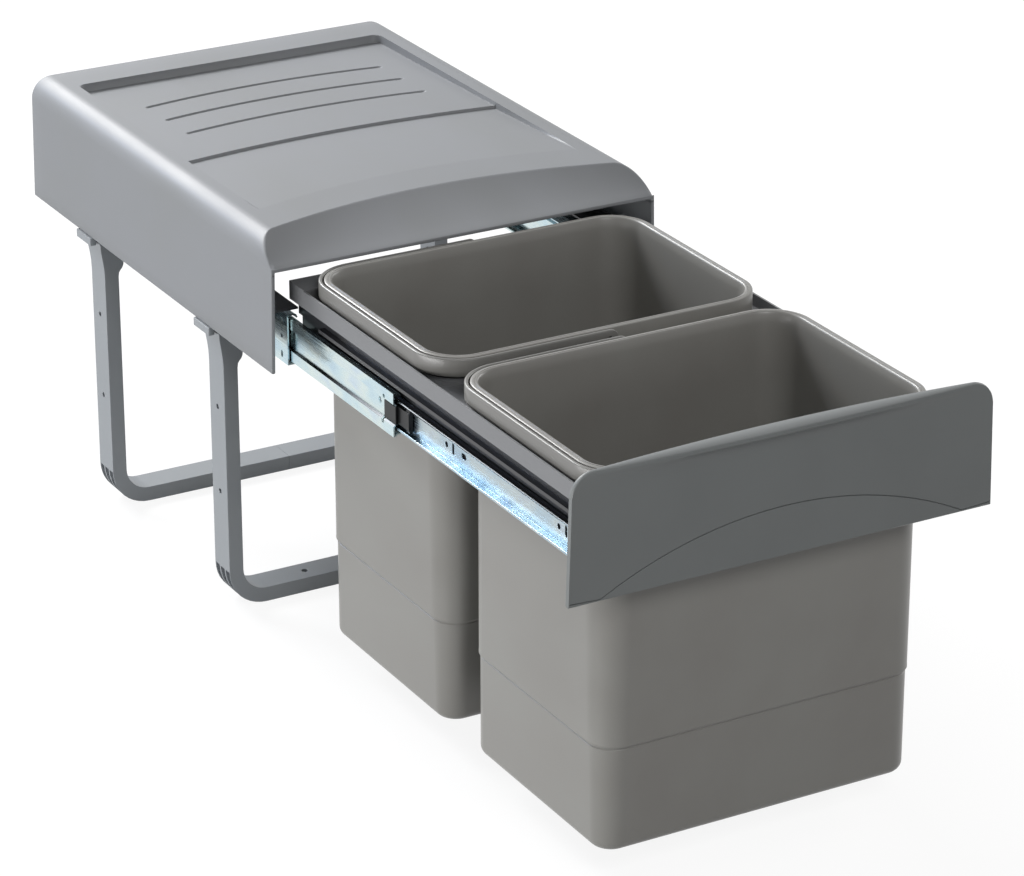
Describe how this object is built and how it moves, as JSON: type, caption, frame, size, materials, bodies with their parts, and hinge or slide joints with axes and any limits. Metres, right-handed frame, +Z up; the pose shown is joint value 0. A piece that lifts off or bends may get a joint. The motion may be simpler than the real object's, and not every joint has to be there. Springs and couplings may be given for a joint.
{
  "type": "pull-out waste bin unit",
  "caption": "Pull-out waste sorter for a kitchen base cabinet: hood on U brackets, ball-bearing slides, and a drawer frame with lift-out bins behind a front panel.",
  "frame": {"origin": "on the cabinet floor, midway between the sides and midway between the open drawer's front and the hood's back", "axes": "+X to the right seen from in front, +Y to the back of the cabinet, +Z up"},
  "size_m": [0.34, 0.905, 0.343],
  "materials": {
    "hood_abs": "satin silver-grey moulded ABS",
    "bracket_plastic": "grey glass-filled polyamide, fine texture",
    "zinc_steel": "bright zinc plated, faintly iridescent",
    "bearing_steel": "bright rolled steel",
    "black_plastic": "black acetal",
    "black_steel": "black coated steel",
    "frame_plastic": "dark grey moulded polypropylene",
    "panel_plastic": "dark grey moulded ABS, fine texture",
    "bin_polypropylene": "warm grey moulded polypropylene"
  },
  "bodies": {
    "cabinet_side": {"hood": "hood_abs", "bracket_front_left": "bracket_plastic", "bracket_front_right": "bracket_plastic", "bracket_rear_left": "bracket_plastic", "bracket_rear_right": "bracket_plastic", "rail_cap_left": "black_steel", "rail_cap_right": "black_steel", "slide_cabinet_left": "zinc_steel", "slide_cabinet_right": "zinc_steel", "slide_buffer_left": "black_plastic", "slide_buffer_right": "black_plastic", "screw_front_left": "zinc_steel", "screw_front_right": "zinc_steel", "screw_rear_left": "zinc_steel", "screw_rear_right": "zinc_steel"},
    "drawer": {"drawer_frame": "frame_plastic", "front_panel": "panel_plastic", "slide_drawer_left": "zinc_steel", "slide_drawer_right": "zinc_steel", "drawer_screw_front_left": "zinc_steel", "drawer_screw_front_right": "zinc_steel", "drawer_screw_rear_left": "zinc_steel", "drawer_screw_rear_right": "zinc_steel"},
    "middle_left": {"slide_middle_left": "zinc_steel", "slide_guide_left": "black_plastic"},
    "cage_outer_left": {"ball_cage_outer_left": "bearing_steel"},
    "cage_inner_left": {"ball_cage_inner_left": "bearing_steel"},
    "middle_right": {"slide_middle_right": "zinc_steel", "slide_guide_right": "black_plastic"},
    "cage_outer_right": {"ball_cage_outer_right": "bearing_steel"},
    "cage_inner_right": {"ball_cage_inner_right": "bearing_steel"},
    "bin_front": {"bin_front": "bin_polypropylene"},
    "handle_front": {"bin_handle_front": "bin_polypropylene"},
    "bin_rear": {"bin_rear": "bin_polypropylene"},
    "handle_rear": {"bin_handle_rear": "bin_polypropylene"}
  },
  "joints": [
    {"name": "drawer_slide", "type": "slide", "parent": "cabinet_side", "child": "drawer", "axis": [0, -1, 0], "range_m": [-0.433, 0]},
    {"name": "middle_left_slide", "type": "slide", "parent": "cabinet_side", "child": "middle_left", "axis": [0, -1, 0], "range_m": [-0.2165, 0]},
    {"name": "cage_outer_left_slide", "type": "slide", "parent": "cabinet_side", "child": "cage_outer_left", "axis": [0, -1, 0], "range_m": [-0.10825, 0]},
    {"name": "cage_inner_left_slide", "type": "slide", "parent": "cabinet_side", "child": "cage_inner_left", "axis": [0, -1, 0], "range_m": [-0.32475, 0]},
    {"name": "middle_right_slide", "type": "slide", "parent": "cabinet_side", "child": "middle_right", "axis": [0, -1, 0], "range_m": [-0.2165, 0]},
    {"name": "cage_outer_right_slide", "type": "slide", "parent": "cabinet_side", "child": "cage_outer_right", "axis": [0, -1, 0], "range_m": [-0.10825, 0]},
    {"name": "cage_inner_right_slide", "type": "slide", "parent": "cabinet_side", "child": "cage_inner_right", "axis": [0, -1, 0], "range_m": [-0.32475, 0]},
    {"name": "bin_front_lift", "type": "slide", "parent": "drawer", "child": "bin_front", "axis": [0, 0, 1], "range_m": [0, 0.31]},
    {"name": "handle_front_hinge", "type": "hinge", "parent": "bin_front", "child": "handle_front", "pos_m": [0, -0.328, 0.312], "axis": [0, 1, 0], "range_deg": [0, 180]},
    {"name": "bin_rear_lift", "type": "slide", "parent": "drawer", "child": "bin_rear", "axis": [0, 0, 1], "range_m": [0, 0.31]},
    {"name": "handle_rear_hinge", "type": "hinge", "parent": "bin_rear", "child": "handle_rear", "pos_m": [0, -0.10425, 0.312], "axis": [0, 1, 0], "range_deg": [0, 180]}
  ],
  "couplings": [
    {"joint": "middle_left_slide", "follows": "drawer_slide", "ratio": 0.5},
    {"joint": "cage_outer_left_slide", "follows": "drawer_slide", "ratio": 0.25},
    {"joint": "cage_inner_left_slide", "follows": "drawer_slide", "ratio": 0.75},
    {"joint": "middle_right_slide", "follows": "drawer_slide", "ratio": 0.5},
    {"joint": "cage_outer_right_slide", "follows": "drawer_slide", "ratio": 0.25},
    {"joint": "cage_inner_right_slide", "follows": "drawer_slide", "ratio": 0.75}
  ]
}
